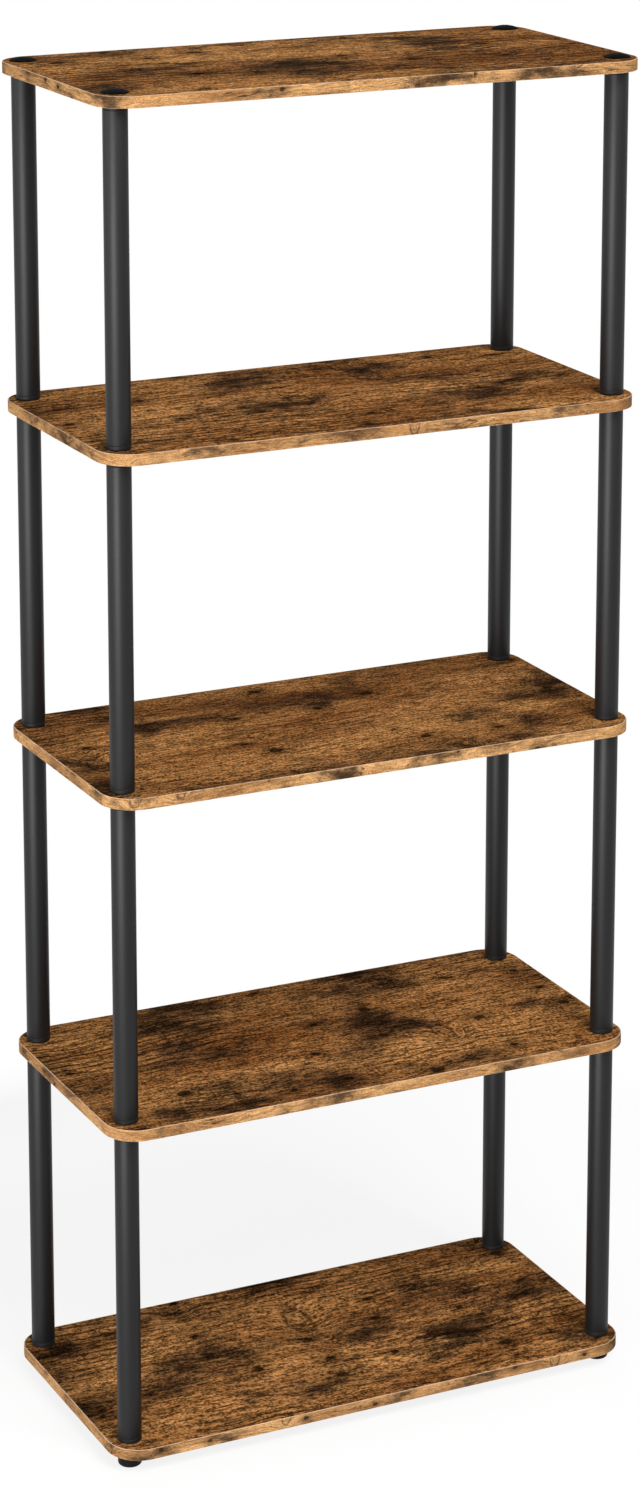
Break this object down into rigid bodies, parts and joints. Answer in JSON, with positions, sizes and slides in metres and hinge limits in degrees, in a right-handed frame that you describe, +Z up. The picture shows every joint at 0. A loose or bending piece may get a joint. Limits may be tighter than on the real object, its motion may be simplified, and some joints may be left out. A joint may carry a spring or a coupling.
{
  "type": "shelving unit",
  "caption": "Tall open shelving unit: round-cornered wood-print boards clamped on corner columns of black screwed steel tubes, with domed caps on top and screw feet below.",
  "frame": {"origin": "middle of the footprint, on the floor under the foot pads", "axes": "+Z up along the columns, +X along the boards' long side, +Y from the front to the back"},
  "size_m": [0.6, 0.3, 1.44],
  "materials": {
    "board": "satin wood-print face",
    "edge_band": "satin wood-print strip",
    "tube": "satin black powder coat",
    "plug": "matte moulded",
    "cap": "fine matte moulded",
    "foot": "satin black powder coat",
    "pad": "matte"
  },
  "bodies": {
    "unit": {"shelf_board_1": "board", "shelf_board_2": "board", "shelf_board_3": "board", "shelf_board_4": "board", "shelf_board_5": "board", "edge_band_1": "edge_band", "edge_band_2": "edge_band", "edge_band_3": "edge_band", "edge_band_4": "edge_band", "edge_band_5": "edge_band", "tube_left_front_1": "tube", "tube_right_front_1": "tube", "tube_left_back_1": "tube", "tube_right_back_1": "tube", "tube_left_front_2": "tube", "tube_right_front_2": "tube", "tube_left_back_2": "tube", "tube_right_back_2": "tube", "tube_left_front_3": "tube", "tube_right_front_3": "tube", "tube_left_back_3": "tube", "tube_right_back_3": "tube", "tube_left_front_4": "tube", "tube_right_front_4": "tube", "tube_left_back_4": "tube", "tube_right_back_4": "tube", "stud_plugs_1": "plug", "stud_plugs_2": "plug", "stud_plugs_3": "plug", "stud_plugs_4": "plug", "socket_plugs_1": "plug", "socket_plugs_2": "plug", "socket_plugs_3": "plug", "socket_plugs_4": "plug", "cap_left_front": "cap", "cap_right_front": "cap", "cap_left_back": "cap", "cap_right_back": "cap"},
    "pad_left_front": {"foot_pad_left_front": "pad"},
    "foot_left_front": {"foot_left_front": "foot"},
    "pad_right_front": {"foot_pad_right_front": "pad"},
    "foot_right_front": {"foot_right_front": "foot"},
    "pad_left_back": {"foot_pad_left_back": "pad"},
    "foot_left_back": {"foot_left_back": "foot"},
    "pad_right_back": {"foot_pad_right_back": "pad"},
    "foot_right_back": {"foot_right_back": "foot"}
  },
  "joints": [
    {"name": "foot_rise_left_front", "type": "slide", "parent": "unit", "child": "pad_left_front", "axis": [0, 0, 1], "range_m": [-0.006, 0]},
    {"name": "foot_turn_left_front", "type": "hinge", "parent": "pad_left_front", "child": "foot_left_front", "pos_m": [-0.2775, -0.12, 0], "axis": [0, 0, 1], "range_deg": [-720, 0]},
    {"name": "foot_rise_right_front", "type": "slide", "parent": "unit", "child": "pad_right_front", "axis": [0, 0, 1], "range_m": [-0.006, 0]},
    {"name": "foot_turn_right_front", "type": "hinge", "parent": "pad_right_front", "child": "foot_right_front", "pos_m": [0.2775, -0.12, 0], "axis": [0, 0, 1], "range_deg": [-720, 0]},
    {"name": "foot_rise_left_back", "type": "slide", "parent": "unit", "child": "pad_left_back", "axis": [0, 0, 1], "range_m": [-0.006, 0]},
    {"name": "foot_turn_left_back", "type": "hinge", "parent": "pad_left_back", "child": "foot_left_back", "pos_m": [-0.2775, 0.12, 0], "axis": [0, 0, 1], "range_deg": [-720, 0]},
    {"name": "foot_rise_right_back", "type": "slide", "parent": "unit", "child": "pad_right_back", "axis": [0, 0, 1], "range_m": [-0.006, 0]},
    {"name": "foot_turn_right_back", "type": "hinge", "parent": "pad_right_back", "child": "foot_right_back", "pos_m": [0.2775, 0.12, 0], "axis": [0, 0, 1], "range_deg": [-720, 0]}
  ],
  "couplings": [
    {"joint": "foot_rise_left_front", "follows": "foot_turn_left_front", "m_per_rad": 0.00047746},
    {"joint": "foot_rise_right_front", "follows": "foot_turn_right_front", "m_per_rad": 0.00047746},
    {"joint": "foot_rise_left_back", "follows": "foot_turn_left_back", "m_per_rad": 0.00047746},
    {"joint": "foot_rise_right_back", "follows": "foot_turn_right_back", "m_per_rad": 0.00047746}
  ]
}
